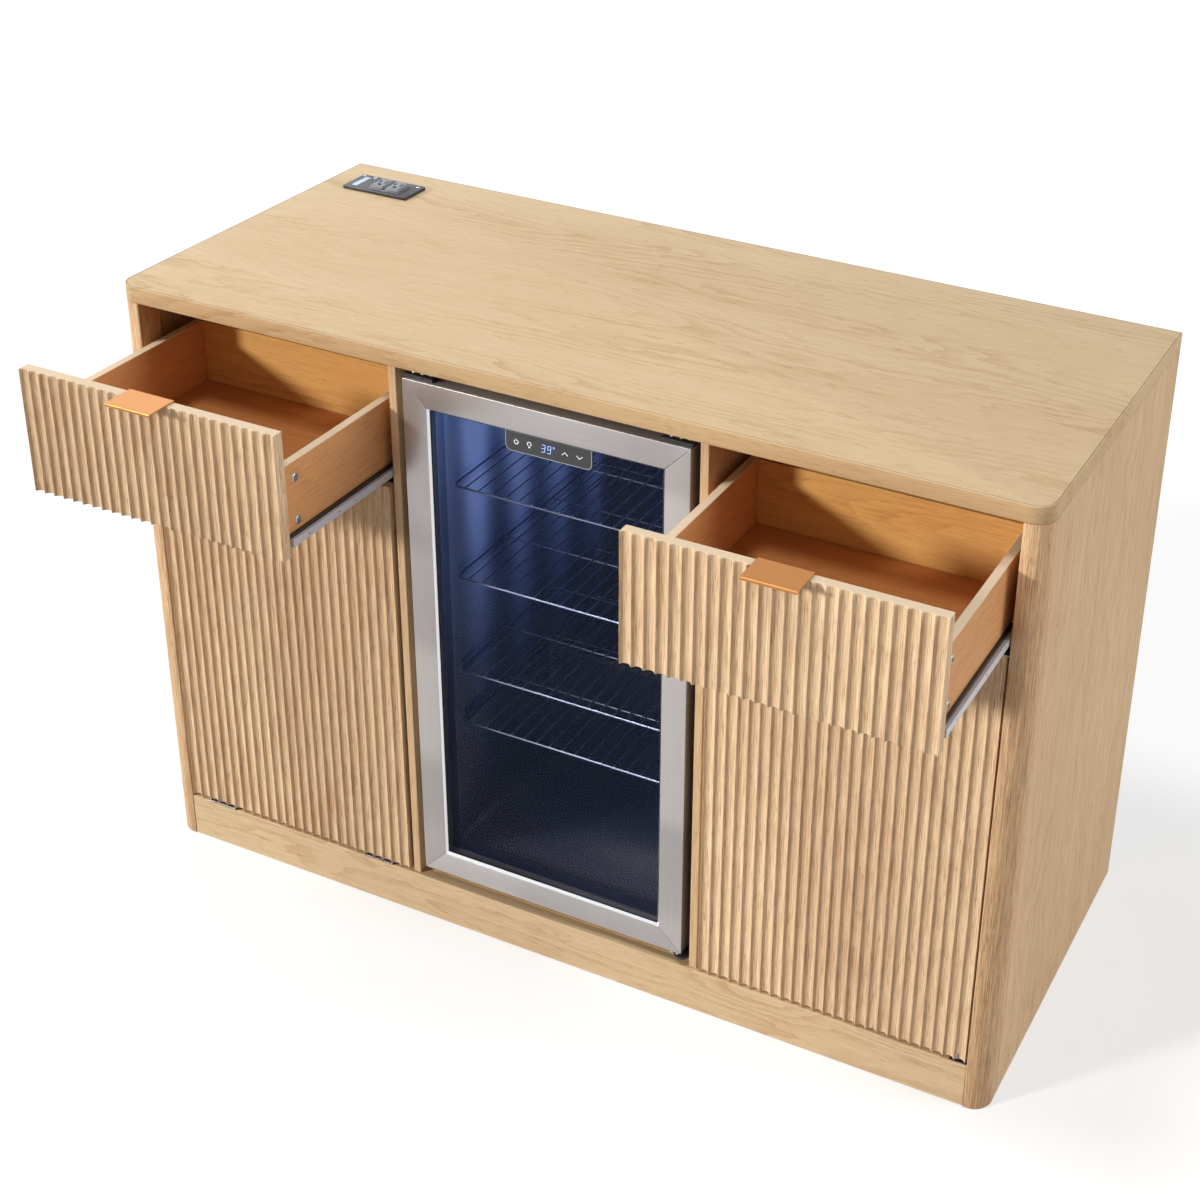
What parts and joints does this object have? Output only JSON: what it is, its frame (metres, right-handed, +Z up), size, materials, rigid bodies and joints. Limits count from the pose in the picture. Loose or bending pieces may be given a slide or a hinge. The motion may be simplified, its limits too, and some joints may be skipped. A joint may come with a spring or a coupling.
{
  "type": "coffee bar cabinet",
  "caption": "Oak coffee bar cabinet with fluted drawer fronts, a tilt-out flap, a side-hung door, a glass-door drinks fridge in the middle bay and a power outlet plate in the top.",
  "frame": {"origin": "on the floor in the middle of the cabinet, on the underside of the centre floor rail", "axes": "+X to the viewer's right along the front, +Z up, the front faces -Y"},
  "size_m": [1.4, 0.8695, 0.9733],
  "materials": {
    "oak": "light oak laminate, satin",
    "back_board": "thin faced board",
    "coated_steel": "epoxy coated",
    "black_plastic": "satin black",
    "chrome": "bright plated",
    "zinc": "zinc plated",
    "fridge_case": "black case, foam filled",
    "fridge_liner": "dark moulded liner",
    "shelf_wire": "coated wire",
    "compressor": "black paint",
    "black_steel": "black paint",
    "door_frame": "brushed stainless look",
    "door_glass": "clear double glazing",
    "door_seal": "magnetic seal",
    "copper": "copper tone, satin",
    "bin_plastic": "moulded"
  },
  "bodies": {
    "carcass": {"top_board": "oak", "left_side_panel": "oak", "right_side_panel": "oak", "left_corner_post": "oak", "right_corner_post": "oak", "kickboard": "oak", "bottom_panel": "oak", "centre_floor_rail": "oak", "left_divider": "oak", "right_divider": "oak", "left_runner_packer": "oak", "right_runner_packer": "oak", "right_bay_shelf": "oak", "back_panel": "back_board", "left_drawer_inner_channel": "coated_steel", "left_drawer_outer_channel": "coated_steel", "right_drawer_inner_channel": "coated_steel", "right_drawer_outer_channel": "coated_steel", "power_housing": "black_plastic", "power_sockets": "black_plastic", "flap_left_hinge_fixed_leaf": "chrome", "flap_right_hinge_fixed_leaf": "chrome", "door_lower_pivot": "zinc", "door_upper_pivot": "zinc", "fridge_cabinet": "fridge_case", "fridge_liner": "fridge_liner", "wire_shelf_1": "shelf_wire", "wire_shelf_2": "shelf_wire", "wire_shelf_3": "shelf_wire", "wire_shelf_4": "shelf_wire", "compressor": "compressor", "upper_left_bracket": "black_steel", "upper_hinge_bracket": "black_steel", "lower_hinge_bracket": "black_steel", "left_front_foot": "black_plastic"},
    "fridge_door": {"fridge_door_frame": "door_frame", "fridge_door_glass": "door_glass", "fridge_door_gasket": "door_seal", "control_panel": "black_plastic"},
    "left_drawer": {"left_drawer_front": "oak", "left_drawer_inner_side": "oak", "left_drawer_outer_side": "oak", "left_drawer_back": "oak", "left_drawer_floor": "oak", "left_drawer_pull": "copper", "left_drawer_inner_runner": "coated_steel", "left_drawer_outer_runner": "coated_steel"},
    "right_drawer": {"right_drawer_front": "oak", "right_drawer_inner_side": "oak", "right_drawer_outer_side": "oak", "right_drawer_back": "oak", "right_drawer_floor": "oak", "right_drawer_pull": "copper", "right_drawer_inner_runner": "coated_steel", "right_drawer_outer_runner": "coated_steel"},
    "flap": {"flap_panel": "oak", "flap_left_hinge_moving_leaf": "chrome", "flap_right_hinge_moving_leaf": "chrome", "tilt_out_bin": "bin_plastic"},
    "right_door": {"right_door_panel": "oak"}
  },
  "joints": [
    {"name": "left_drawer_slide", "type": "slide", "parent": "carcass", "child": "left_drawer", "axis": [0, -1, 0], "range_m": [-0.24, 0.02]},
    {"name": "right_drawer_slide", "type": "slide", "parent": "carcass", "child": "right_drawer", "axis": [0, -1, 0], "range_m": [-0.2425, 0.0175]},
    {"name": "flap_hinge", "type": "hinge", "parent": "carcass", "child": "flap", "pos_m": [-0.4562, -0.2973, 0.07645], "axis": [1, 0, 0], "range_deg": [0, 35]},
    {"name": "right_door_hinge", "type": "hinge", "parent": "carcass", "child": "right_door", "pos_m": [0.6513, -0.2915, 0.0785], "axis": [0, 0, 1], "range_deg": [0, 95]},
    {"name": "fridge_door_hinge", "type": "hinge", "parent": "carcass", "child": "fridge_door", "pos_m": [0.2135, -0.2865, 0.0944], "axis": [0, 0, 1], "range_deg": [0, 90]}
  ]
}
